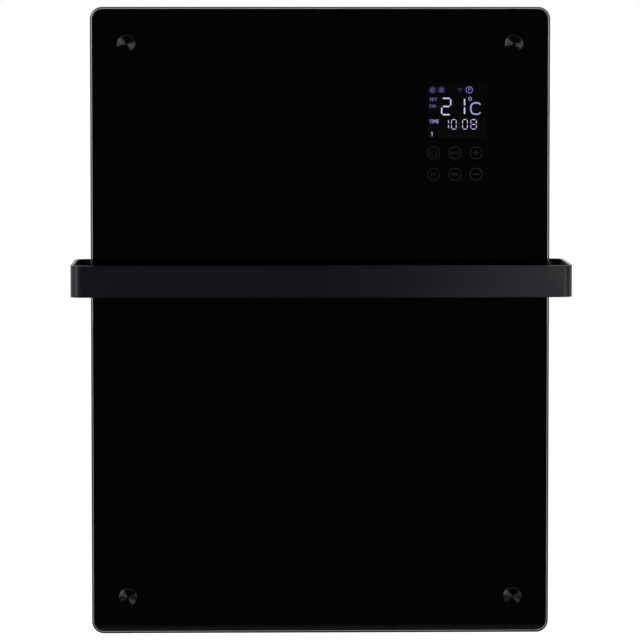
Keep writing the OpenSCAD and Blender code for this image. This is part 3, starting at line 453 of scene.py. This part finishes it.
# The large figures are a pale lilac white, the letter beside them is a deeper violet.
white_segments = lit("lit_white_segments", "#d6ccf4")
violet_segments = lit("lit_violet_segments", "#a8a2e8")
bright_segments = lit("lit_bright_violet_segments", "#a8a2e8", 1.7)
blue_segments = lit("lit_blue_segments", "#9088e4")
dim_segments = lit("lit_dim_segments", "#44487c")

# Strokes of the large figures, of the clock and of the small figure below it, in mm.
large, thin, small = 1.4, 0.74, 0.7
figures = [bar(-10.55, v, length, large, False) for v, length in ((12.0, 7.2), (3.9, 6.8), (-4.2, 7.2))]
figures += [bar(-6.1, 8.0, 6.2, large, True), bar(-15.0, -0.2, 6.2, large, True)]
figures += [bar(7.6, v, 6.6, large, True) for v in (8.2, -0.3)]
place_on_glass(join("large_figures", figures), white_segments)

# The letter is a round stroke along a curve, pressed flat.
letter_points = [(23.55, 5.7), (21.25, 7.2), (17.25, 7.2), (14.5, 5.5), (13.9, 1.85),
                 (14.5, -1.85), (17.25, -3.5), (21.25, -3.5), (23.55, -2.0)]
letter_stroke_r, letter_flatness = 0.74 * MM, 0.05
bpy.ops.object.select_all(action="DESELECT")
bpy.ops.curve.primitive_bezier_curve_add(location=(0, 0, 0))
letter = bpy.context.object
spline = letter.data.splines[0]
spline.bezier_points.add(len(letter_points) - 2)
for point, (u, v) in zip(spline.bezier_points, letter_points):
    point.co = (window_x + u * MM, lit_middle, window_z + v * MM)
    point.handle_left_type = point.handle_right_type = "AUTO"
letter.data.dimensions = "3D"
letter.data.bevel_depth = letter_stroke_r
letter.data.bevel_resolution = 3
letter.data.use_fill_caps = True
bpy.ops.object.convert(target="MESH")
letter = bpy.context.object
flatten(letter, letter_flatness)
letter.name = "degree_letter"
place_on_glass(letter, violet_segments)
place_on_glass(join("degree_ring", [ring(13.0, 11.5, 3.6, 0.6)]), violet_segments)


def clock_figure(left, width, levels, length):
    """A figure of the clock: two strokes on each side and level strokes between them."""
    strokes = [bar(across, v, 3.4, thin, True) for across in (left, left + width) for v in (-11.3, -16.0)]
    return strokes + [bar(left + width / 2, v, length, thin, False) for v in levels]


clock = [bar(-8.3, -11.2, 3.0, thin, True), bar(-8.3, -16.0, 3.2, thin, True)]
for left in (-5.3, 5.7):
    clock += clock_figure(left, 4.7, (-9.0, -18.4), 3.2)
clock += clock_figure(13.9, 5.4, (-9.0, -13.8, -18.4), 3.6)
clock += [bar(-24.5, -23.4, 4.2, small, True), bar(-25.2, -21.9, 1.5, 0.6, False)]
place_on_glass(join("clock_figures", clock), white_segments)
colon = [bar(2.6, v, 0.6, 0.55, True) for v in (-12.9, -16.2)]
place_on_glass(join("clock_colon", colon), violet_segments)
for name, text, u, v, height, stretch in (("set_word", "SET", -27.3, 9.3, 3.3, 1.1),
                                          ("on_word", "ON", -27.3, 2.8, 3.3, 0.88)):
    place_on_glass(join(name, [word(text, u, v, height, stretch)]), blue_segments)
place_on_glass(join("time_word", [word("TIME", -27.2, -12.6, 3.8, 0.84)]), bright_segments)

# Each sun is a ring with eight rays, and the wireless sign a dot under two quarter arcs.
sun_v, sun_ring_d, sun_stroke = 20.3, 3.2, 0.4
ray_v, ray_length, ray_stroke, rays = 2.9, 1.4, 0.26, 8
for index, sun_u in enumerate((-24.3, -15.4)):
    sun = [ring(sun_u, sun_v, sun_ring_d, sun_stroke)]
    for turn in range(rays):
        ray = bar(sun_u, sun_v + ray_v, ray_length, ray_stroke, True)
        take(ray, "VERT")
        bpy.ops.mesh.select_all(action="SELECT")
        bpy.ops.transform.rotate(value=turn * 2 * math.pi / rays, orient_axis="Y",
                                 center_override=(window_x + sun_u * MM, lit_front, window_z + sun_v * MM))
        bpy.ops.object.mode_set(mode="OBJECT")
        sun.append(ray)
    place_on_glass(join(f"sun_sign_{index + 1}", sun), blue_segments)
arc_u, arc_v, arc_stroke, arcs = 3.2, 18.2, 0.4, []
dot_v, dot_d = 18.0, 0.9
for radius in (1.9, 3.7):
    arc = ring(arc_u, arc_v, 2 * radius, arc_stroke)
    take(arc, "VERT")
    bpy.ops.mesh.select_all(action="SELECT")
    for tilt in (45, -45):
        bpy.ops.mesh.bisect(plane_co=(window_x + arc_u * MM, lit_front, window_z + arc_v * MM),
                            plane_no=(math.sin(math.radians(tilt)), 0, -math.cos(math.radians(tilt))),
                            clear_outer=True, use_fill=True)
        bpy.ops.mesh.select_all(action="SELECT")
    bpy.ops.object.mode_set(mode="OBJECT")
    arcs.append(arc)
arcs.append(ring(arc_u, dot_v, dot_d, arc_stroke))
place_on_glass(join("wireless_sign", arcs), dim_segments)
place_on_glass(join("programme_sign", [ring(12.3, 20.4, 6.8, 0.55), word("P", 11.1, 18.8, 3.5)]),
               blue_segments)

# Touch keys: six thin rings with a sign in each, printed in dark grey on the back of the glass.
# They stand over the springs of the display board, which feel the finger through the glass.
key_ink = finish("screen_printed_grey_ink", "#5f5f65", "#57575d", 0.7, 1.5, 0.0005, 0.02,
                 Specular_IOR_Level=0.0)
ink_back, ink_front = -57.92 * MM, -57.98 * MM
key_pitch, key_ring_d, key_stroke = 21.1, 12.6, 0.6
sign_d, plus_stroke, power_gap_v = 6.6, 0.8, 1.9
key_low, key_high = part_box("touch_springs")
key_x = (key_low.x + key_high.x) / 2
key_z = (key_low.z + key_high.z) / 2 + key_pitch / 2 * MM


def inked(piece):
    """Moves a stroke from the lit module's face to the back of the glass."""
    depth = (ink_back - ink_front) / (lit_back - lit_front)
    bpy.ops.object.select_all(action="DESELECT")
    piece.select_set(True)
    bpy.context.view_layer.objects.active = piece
    bpy.ops.object.transform_apply(location=True, rotation=True, scale=True)
    for vertex in piece.data.vertices:
        vertex.co.y = (ink_back + ink_front) / 2 + (vertex.co.y - lit_middle) * depth
    return piece


for row in range(2):
    for column in range(3):
        u = (key_x - window_x) / MM + (column - 1) * key_pitch
        v = (key_z - window_z) / MM - row * key_pitch
        signs = [inked(ring(u, v, key_ring_d, key_stroke))]
        if (row, column) == (0, 0):
            power = ring(u, v - 0.2, sign_d, key_stroke)
            take(power, "VERT")
            bpy.ops.mesh.select_all(action="SELECT")
            bpy.ops.mesh.bisect(plane_co=(window_x + u * MM, lit_front, window_z + (v + power_gap_v) * MM),
                                plane_no=(0, 0, 1), clear_outer=True, use_fill=True)
            bpy.ops.object.mode_set(mode="OBJECT")
            signs += [inked(power), inked(bar(u, v + 2.4, 3.2, key_stroke, True))]
        elif (row, column) == (0, 1):
            signs += [inked(word("MODE", u - 4.4, v - 1.2, 2.5, 0.85, 0.02))]
        elif (row, column) == (1, 1):
            signs += [inked(word("TIME", u - 4.3, v - 1.2, 2.6, 0.95, 0.03))]
        elif (row, column) == (1, 0):
            signs += [inked(bar(u + step, v, 4.4, 0.7, True)) for step in (-2.1, 0, 2.1)]
        else:
            signs += [inked(bar(u, v, sign_d, plus_stroke, False))]
            if row == 0:
                signs += [inked(bar(u, v, sign_d, plus_stroke, True))]
        place_on_glass(join(f"touch_key_{row + 1}_{column + 1}", signs), key_ink)

# Boards: glass-fibre boards under green solder resist, with the display's springs and radio can.
# Tracks show through the resist as slightly lighter lines, a few tenths of a millimetre wide.
resist = finish("green_solder_resist", "#1b6a3a", "#165a31", 0.3, 1.0, 0.002, 0.05)
place = add(resist, "ShaderNodeTexCoord").outputs["Object"]
upright = add(resist, "ShaderNodeMapping", {"Rotation": (math.radians(90), 0, 0)}, {"Vector": place})
tracks = add(resist, "ShaderNodeTexBrick",
             {"Scale": 1 / (9 * MM), "Mortar Size": 0.03, "Color1": linear("#1b6a3a"),
              "Color2": linear("#175f34"), "Mortar": linear("#2f9457")},
             {"Vector": upright.outputs["Vector"]})
resist.node_tree.links.new(tracks.outputs["Color"],
                           resist.node_tree.nodes["Principled BSDF"].inputs["Base Color"])
dress(resist, "display_board", "power_board")
spring_wire = finish("plated_spring_wire", "#d8cba4", "#c4b68c", 0.28, 0.4, 0.001, 0.06, 3, Metallic=1.0)
dress(spring_wire, "touch_springs")
tinned_can = finish("tinned_shield_can", "#c9c9cb", "#b4b4b6", 0.35, 0.8, 0.002, 0.08, 6, Metallic=1.0)
eased_copy("wireless_module", "radio_can", 0.25, tinned_can, "heater")
turned_brass = finish("turned_brass", "#d9b865", "#c9a650", 0.25, 0.3, 0.001, 0.06, 4, Metallic=1.0)
dress(turned_brass, "board_pillars")

# Power parts: relay, transformer, capacitors, fuse holder and terminal block, soldered to the board.
# Each has its trade's usual look: blue moulding, yellow tape, dark sleeves, white body, green plastic.
relay_case = finish("moulded_blue_relay", "#1f3d8c", "#1a357c", 0.35, 0.6, 0.004)
tape_wrap = finish("yellow_tape_wrap", "#d8b93c", "#c9a92c", 0.3, 2.0, 0.01, 0.08, 8, (1, 1, 6))
sleeve = finish("shrunk_dark_sleeve", "#232a45", "#1b2138", 0.3, 1.5, 0.006, 0.08, 6)
steatite = finish("unglazed_steatite", "#e6e2d6", "#dad5c6", 0.7, 0.4, 0.006)
terminal_green = finish("moulded_green_block", "#2f8f4e", "#277f44", 0.45, 0.6, 0.008)
eased_copy("relay", "relay_case", 0.6, relay_case, "heater")
eased_copy("transformer", "wound_transformer", 0.5, tape_wrap, "heater")
eased_copy("capacitor", "sleeved_capacitors", 0.8, sleeve, "heater")
eased_copy("fuse", "fuse_holder", 0.5, steatite, "heater")
eased_copy("terminal_block", "terminal_row", 0.25, terminal_green, "heater")
dress(steatite, "element_insulators")

# Heating element: a sheathed rod in an extruded aluminium X with slotted wings, on two brackets.
# Extrusion leaves faint lines along its length, and a bright shield guards the back from it.
extruded = finish("extruded_aluminium", "#c6c7c9", "#b2b3b6", 0.38, 0.5, 0.004, 0.1, 12, (0.05, 1, 1),
                  Metallic=1.0)
dress(extruded, "heating_element")
rolled = finish("bright_rolled_aluminium", "#d8d9db", "#cacbcd", 0.25, 0.4, 0.002, 0.08, 20, (0.1, 1, 1),
                Metallic=1.0)
eased_copy("heat_shield", "folded_shield", 0.2, rolled, "heater")
# Hot-dip zinc: crystals of about six millimetres, each at its own tone.
spangle = finish("hot_dip_galvanised_sheet", "#b9bcc0", "#a4a7ab", 0.42, 0.8, 0.003, 0.08, Metallic=1.0)
crystals = add(spangle, "ShaderNodeTexVoronoi", {"Scale": 1 / (6 * MM)},
               {"Vector": add(spangle, "ShaderNodeTexCoord").outputs["Object"]})
grey_step = add(spangle, "ShaderNodeRGBToBW", {}, {"Color": crystals.outputs["Color"]})
spangle.node_tree.links.new(grey_step.outputs["Val"], spangle.node_tree.nodes["tone"].inputs["Fac"])
eased_copy("element_brackets", "element_hangers", 0.2, spangle, "heater")
dress(spangle, "cutout_bracket", "sensor_clip")
phenolic = finish("moulded_brown_phenolic", "#6a3f22", "#5b351c", 0.4, 0.8, 0.006)
dress(phenolic, "thermal_cutout")
dress(nylon, "temperature_sensor")
earth_brass = finish("rolled_brass", "#d6b35a", "#c4a04a", 0.3, 0.5, 0.002, 0.08, 5, Metallic=1.0)
dress(earth_brass, "earth_screw")

# Inner wiring: silicone leads in glass-fibre sleeves, and a pale jacketed cable to the display.
# The sleeve's braid is about a millimetre across, and the jacket is smooth PVC.
braid = finish("glass_fibre_sleeve", "#cfc5ae", "#b9ae95", 0.7, 1.0, 0.06)
dress(braid, "inner_leads")
jacket = finish("pale_pvc_jacket", "#cfcfc8", "#c4c4bc", 0.45, 1.5, 0.005)
dress(jacket, "display_cable")

# Main switch: a rocker in a black body, snapped into the case's right side, with tinned tabs inside.
# The rocker is polished and carries the two usual signs, a bar for on and a ring for off.
eased_copy("switch_body", "switch_frame", 0.4, nylon, "heater")
gloss_black = finish("polished_black_moulding", "#191919", "#151515", 0.16, 3.0, 0.001, 0.03)
eased_copy("switch_rocker", "switch_key", 0.35, gloss_black, "rocker")
sign_white = finish("two_shot_white_sign", "#dedcd4", "#d2d0c8", 0.45, 0.6, 0.001, 0.03)
# Each sign lies on its half of the rocker's face, which leans by some degrees in the on position.
on_place, on_lean = Vector((208.17, -34.6, -232.21)) * MM, math.radians(-1.2)
off_place, off_lean = Vector((209.70, -34.6, -243.10)) * MM, math.radians(-14.8)
sign_t, bar_width, bar_length, bar_corner_r = 0.16 * MM, 0.9 * MM, 4.6 * MM, 0.3 * MM
off_ring_r, off_stroke_r, sign_flatness = 2.0 * MM, 0.42 * MM, 0.19
bpy.ops.object.select_all(action="DESELECT")
bpy.ops.mesh.primitive_cube_add(size=1, location=on_place, rotation=(0, on_lean, 0))
on_bar = bpy.context.object
on_bar.scale = (sign_t, bar_width, bar_length)
bpy.ops.object.transform_apply(location=False, rotation=False, scale=True)
pick(on_bar, "EDGE", lambda ends: abs(ends[0].x - ends[1].x) > 0.1 * MM)
bpy.ops.mesh.bevel(offset=bar_corner_r, segments=4, profile=0.5)
bpy.ops.object.mode_set(mode="OBJECT")
bpy.ops.object.select_all(action="DESELECT")
bpy.ops.mesh.primitive_torus_add(major_radius=off_ring_r, minor_radius=off_stroke_r,
                                 major_segments=48, minor_segments=12, location=off_place,
                                 rotation=(0, math.radians(90) + off_lean, 0))
off_ring = bpy.context.object
for vertex in off_ring.data.vertices:
    vertex.co.z *= sign_flatness
for sign, name in ((on_bar, "switch_on_bar"), (off_ring, "switch_off_ring")):
    sign.name = name
    settle(sign)
    sign.data.materials.clear()
    sign.data.materials.append(sign_white)
    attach(sign, "rocker")
tinned_tabs = finish("tinned_brass_tabs", "#cfcbbf", "#bdb8aa", 0.35, 0.6, 0.002, 0.08, 5, Metallic=1.0)
dress(tinned_tabs, "switch_terminals")

# Stage: a pale floor well below the heater, a large soft box at the upper left, smaller ones at the
# sides, and dark cards in front, below, above and at the sides, which only glass and metal reflect.
bpy.ops.object.select_all(action="DESELECT")
floor_z, floor_glow = -0.94, 0.45
bpy.ops.mesh.primitive_plane_add(size=24, location=(0, 0, floor_z))
floor = bpy.context.object
floor.name = "floor"
floor_paint = bpy.data.materials.new("pale_floor")
floor_paint.use_nodes = True
floor_skin = floor_paint.node_tree.nodes["Principled BSDF"]
floor_skin.inputs["Base Color"].default_value = linear("#f0f0f0")
floor_skin.inputs["Roughness"].default_value = 0.9
floor_skin.inputs["Emission Color"].default_value = (1, 1, 1, 1)
# Only the camera sees the floor's own glow, which lifts it to the white of the background.
floor_seen = add(floor_paint, "ShaderNodeLightPath")
floor_lift = add(floor_paint, "ShaderNodeMath", {"operation": "MULTIPLY"},
                 {0: floor_seen.outputs["Is Camera Ray"]})
floor_lift.inputs[1].default_value = floor_glow
floor_paint.node_tree.links.new(floor_lift.outputs[0], floor_skin.inputs["Emission Strength"])
floor.data.materials.append(floor_paint)
floor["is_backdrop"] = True


def card(name, place, size, shade, turn=90, swing=0):
    """A sheet that only glass and metal reflect: it is out of sight and casts no shadow."""
    bpy.ops.object.select_all(action="DESELECT")
    bpy.ops.mesh.primitive_plane_add(size=1, location=place,
                                     rotation=(math.radians(turn), 0, math.radians(swing)))
    sheet = bpy.context.object
    sheet.name = name
    sheet.scale = (*size, 1)
    bpy.ops.object.transform_apply(location=True, rotation=True, scale=True)
    paint = bpy.data.materials.new(name + "_paper")
    paint.use_nodes = True
    paper = paint.node_tree.nodes["Principled BSDF"]
    paper.inputs["Base Color"].default_value = (0, 0, 0, 1)
    paper.inputs["Specular IOR Level"].default_value = 0
    paper.inputs["Emission Color"].default_value = linear(shade)
    paper.inputs["Emission Strength"].default_value = 1.0
    sheet.data.materials.append(paint)
    sheet.visible_camera = False
    sheet.visible_diffuse = False
    sheet.visible_shadow = False
    sheet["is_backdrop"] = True
    return sheet


# A narrow card at the front card's foot brightens downwards, which the glass shows along its lower edge.
card_grey = "#1e1e1e"
card("front_card", (0.08, -3.9, 2.06), (10.0, 6.0), card_grey)
foot_card = card("foot_card", (0.08, -3.89, -0.924), (1.6, 0.03), "#ffffff")
strip_top, strip_foot, strip_faint, strip_bright = -0.9135, -0.9225, 0.013, 0.09
paper = foot_card.data.materials[0]
place = add(paper, "ShaderNodeTexCoord").outputs["Object"]
height = add(paper, "ShaderNodeSeparateXYZ", {}, {"Vector": place})
foot = add(paper, "ShaderNodeMapRange",
           {"From Min": strip_top, "From Max": strip_foot, "To Min": strip_faint, "To Max": strip_bright},
           {"Value": height.outputs["Z"]})
paper.node_tree.links.new(foot.outputs["Result"],
                          paper.node_tree.nodes["Principled BSDF"].inputs["Emission Strength"])
card("floor_card", (0.08, -1.825, -0.939), (10.0, 4.15), card_grey, 0)
card("ceiling_card", (0.08, -2.55, 5.06), (10.0, 2.7), card_grey, 0)
for name, across in (("left_card", -4.92), ("right_card", 5.08)):
    card(name, (across, -2.15, 2.06), (3.5, 6.0), card_grey, 90, 90)


def softbox(name, place, aim, width, height, watts, grid=180):
    """A rectangular lamp that faces a point, with a grid that keeps its light within some degrees."""
    lamp = bpy.data.lights.new(name, "AREA")
    lamp.shape = "RECTANGLE"
    lamp.size, lamp.size_y = width, height
    lamp.energy = watts
    lamp.spread = math.radians(grid)
    box = bpy.data.objects.new(name, lamp)
    bpy.context.scene.collection.objects.link(box)
    box.location = place
    box.rotation_euler = (Vector(aim) - Vector(place)).to_track_quat("-Z", "Y").to_euler()
    return box


softbox("left_box", (-3.5, -2.7, 2.0), (0, 0, 0), 2.4, 2.4, 104)
softbox("left_side_box", (-2.6, -1.3, 0.2), (-0.2, -0.06, 0), 1.0, 1.0, 14)
softbox("right_side_box", (3.7, -2.6, 0.3), (0, 0, 0), 2.0, 2.0, 29)
softbox("rail_end_box", (0.78, -1.63, 0.3), (0.25, -0.13, 0.044), 0.12, 0.12, 0.1, 16)

# The background is white to the camera and in glossy and clear rays, and lights the rest less.
world = bpy.data.worlds.new("studio")
bpy.context.scene.world = world
world.use_nodes = True
paths = add(world, "ShaderNodeLightPath")
seen = add(world, "ShaderNodeMath", {"operation": "MAXIMUM"},
           {0: paths.outputs["Is Camera Ray"], 1: paths.outputs["Is Glossy Ray"]})
seen = add(world, "ShaderNodeMath", {"operation": "MAXIMUM"},
           {0: seen.outputs[0], 1: paths.outputs["Is Transmission Ray"]})
level = add(world, "ShaderNodeMapRange", {"To Min": 0.7, "To Max": 1.0}, {"Value": seen.outputs[0]})
backdrop = world.node_tree.nodes["Background"]
backdrop.inputs["Color"].default_value = (1, 1, 1, 1)
world.node_tree.links.new(level.outputs["Result"], backdrop.inputs["Strength"])

# The camera's place, lens, tilt and turn are fitted to the photograph's outline, with a small lens shift.
camera_data = bpy.data.cameras.new("camera")
camera = bpy.data.objects.new("camera", camera_data)
bpy.context.scene.collection.objects.link(camera)
camera.location = (-0.0779, -3.7142, 0.2798)
camera_data.lens = 207.57
camera_data.sensor_width = 36
camera_data.shift_y = -0.08
camera_data.clip_end = 100
camera.rotation_euler = (math.radians(90 - 3.563), 0, math.radians(-1.217))
bpy.context.scene.camera = camera
bpy.context.scene.view_settings.view_transform = "Standard"

low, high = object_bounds()
